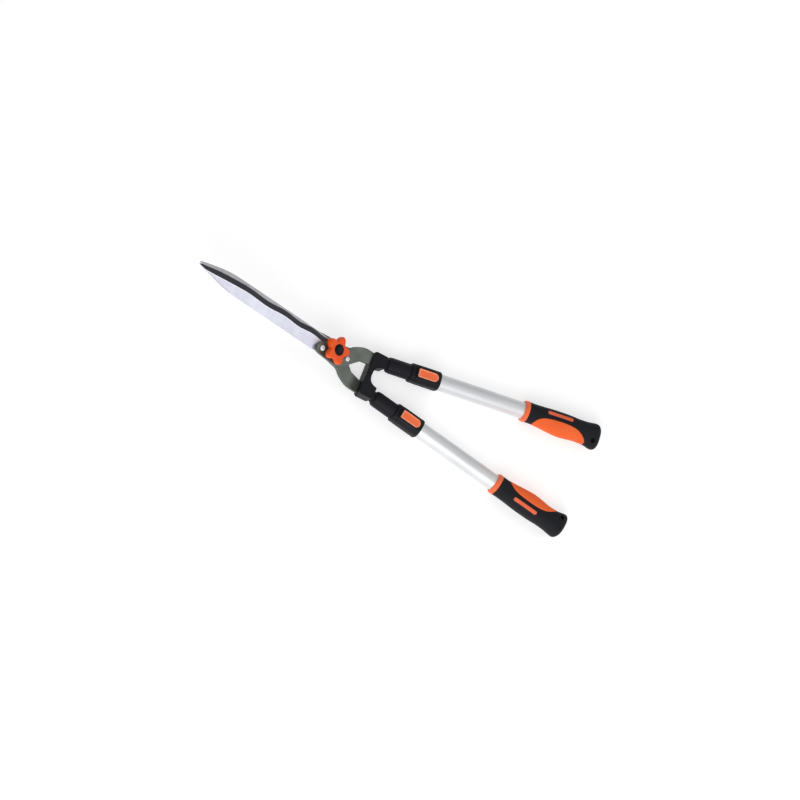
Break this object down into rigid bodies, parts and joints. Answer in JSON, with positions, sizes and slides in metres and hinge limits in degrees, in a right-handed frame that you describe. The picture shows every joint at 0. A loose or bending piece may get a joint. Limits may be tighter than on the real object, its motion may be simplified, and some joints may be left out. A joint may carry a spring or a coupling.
{
  "type": "hedge shears",
  "caption": "Manual hedge shears with wavy-edged blades, cranked steel arms, a star tension knob and telescopic aluminium handles with locking collars and two-colour grips.",
  "frame": {"origin": "centre of the flat face of the pivot bolt head, on the pivot axis under the blades", "axes": "+X from the blade tips towards the grips along the centre line, +Y towards the right handle, +Z square to the level plane that both handles lie in, on the side of the tension knob; the blades rise from the bend towards -X"},
  "size_m": [0.6935, 0.183, 0.1251],
  "materials": {
    "blade_steel": "ground and polished",
    "arm_steel": "dark greenish grey, satin",
    "rivet_steel": "bright",
    "zinc_steel": "zinc plated",
    "spring_steel": "plain",
    "brass": "plain",
    "anodised_tube": "satin anodised",
    "black_plastic": "fine moulded grain",
    "black_rubber": "soft touch",
    "orange_plastic": "satin gloss",
    "orange_rubber": "soft touch"
  },
  "bodies": {
    "left_half": {"pivot_bolt": "zinc_steel", "flat_washer": "zinc_steel", "spring_washer": "zinc_steel", "left_blade": "blade_steel", "left_arm": "arm_steel", "left_front_rivet": "rivet_steel", "left_rear_rivet": "rivet_steel", "left_bumper": "black_plastic", "left_sleeve": "black_plastic", "left_inner_tube": "anodised_tube", "left_tube_bush": "black_plastic"},
    "right_half": {"right_blade": "blade_steel", "right_arm": "arm_steel", "right_front_rivet": "rivet_steel", "right_rear_rivet": "rivet_steel", "right_bumper": "black_plastic", "right_sleeve": "black_plastic", "right_inner_tube": "anodised_tube", "right_tube_bush": "black_plastic"},
    "knob": {"knob": "orange_plastic", "knob_nut": "brass", "knob_cap": "black_plastic"},
    "right_slider": {"right_lock_collar": "black_plastic", "right_lock_pin": "zinc_steel", "right_lock_spring": "spring_steel", "right_outer_tube": "anodised_tube", "right_grip_ring": "orange_rubber", "right_grip_core": "black_rubber", "right_grip_pad": "orange_rubber", "right_grip_inlay": "orange_rubber"},
    "right_button": {"right_lock_button": "orange_plastic", "right_lock_peg": "zinc_steel"},
    "left_slider": {"left_lock_collar": "black_plastic", "left_lock_pin": "zinc_steel", "left_lock_spring": "spring_steel", "left_outer_tube": "anodised_tube", "left_grip_ring": "orange_rubber", "left_grip_core": "black_rubber", "left_grip_pad": "orange_rubber", "left_grip_inlay": "orange_rubber"},
    "left_button": {"left_lock_button": "orange_plastic", "left_lock_peg": "zinc_steel"}
  },
  "joints": [
    {"name": "blade_pivot", "type": "hinge", "parent": "left_half", "child": "right_half", "pos_m": [0, 0, 0], "axis": [0.3156, 0, 0.9489], "range_deg": [0, 60]},
    {"name": "knob_turn", "type": "hinge", "parent": "left_half", "child": "knob", "pos_m": [0, 0, 0], "axis": [0.3156, 0, 0.9489], "range_deg": [-90, 270]},
    {"name": "right_telescope", "type": "slide", "parent": "right_half", "child": "right_slider", "axis": [0.9893, 0.1461, 0], "range_m": [0, 0.2]},
    {"name": "right_lock_press", "type": "hinge", "parent": "right_slider", "child": "right_button", "pos_m": [0.15574, 0.03536, 0.00563], "axis": [-0.1461, 0.9893, 0], "range_deg": [0, 4], "stiffness_Nm_per_rad": 0.5, "springref_deg": -3.44, "deforming": ["right_lock_spring"]},
    {"name": "left_telescope", "type": "slide", "parent": "left_half", "child": "left_slider", "axis": [0.9893, -0.1461, 0], "range_m": [0, 0.2]},
    {"name": "left_lock_press", "type": "hinge", "parent": "left_slider", "child": "left_button", "pos_m": [0.15574, -0.03536, 0.00563], "axis": [0.1461, 0.9893, 0], "range_deg": [0, 4], "stiffness_Nm_per_rad": 0.5, "springref_deg": -3.44, "deforming": ["left_lock_spring"]}
  ]
}
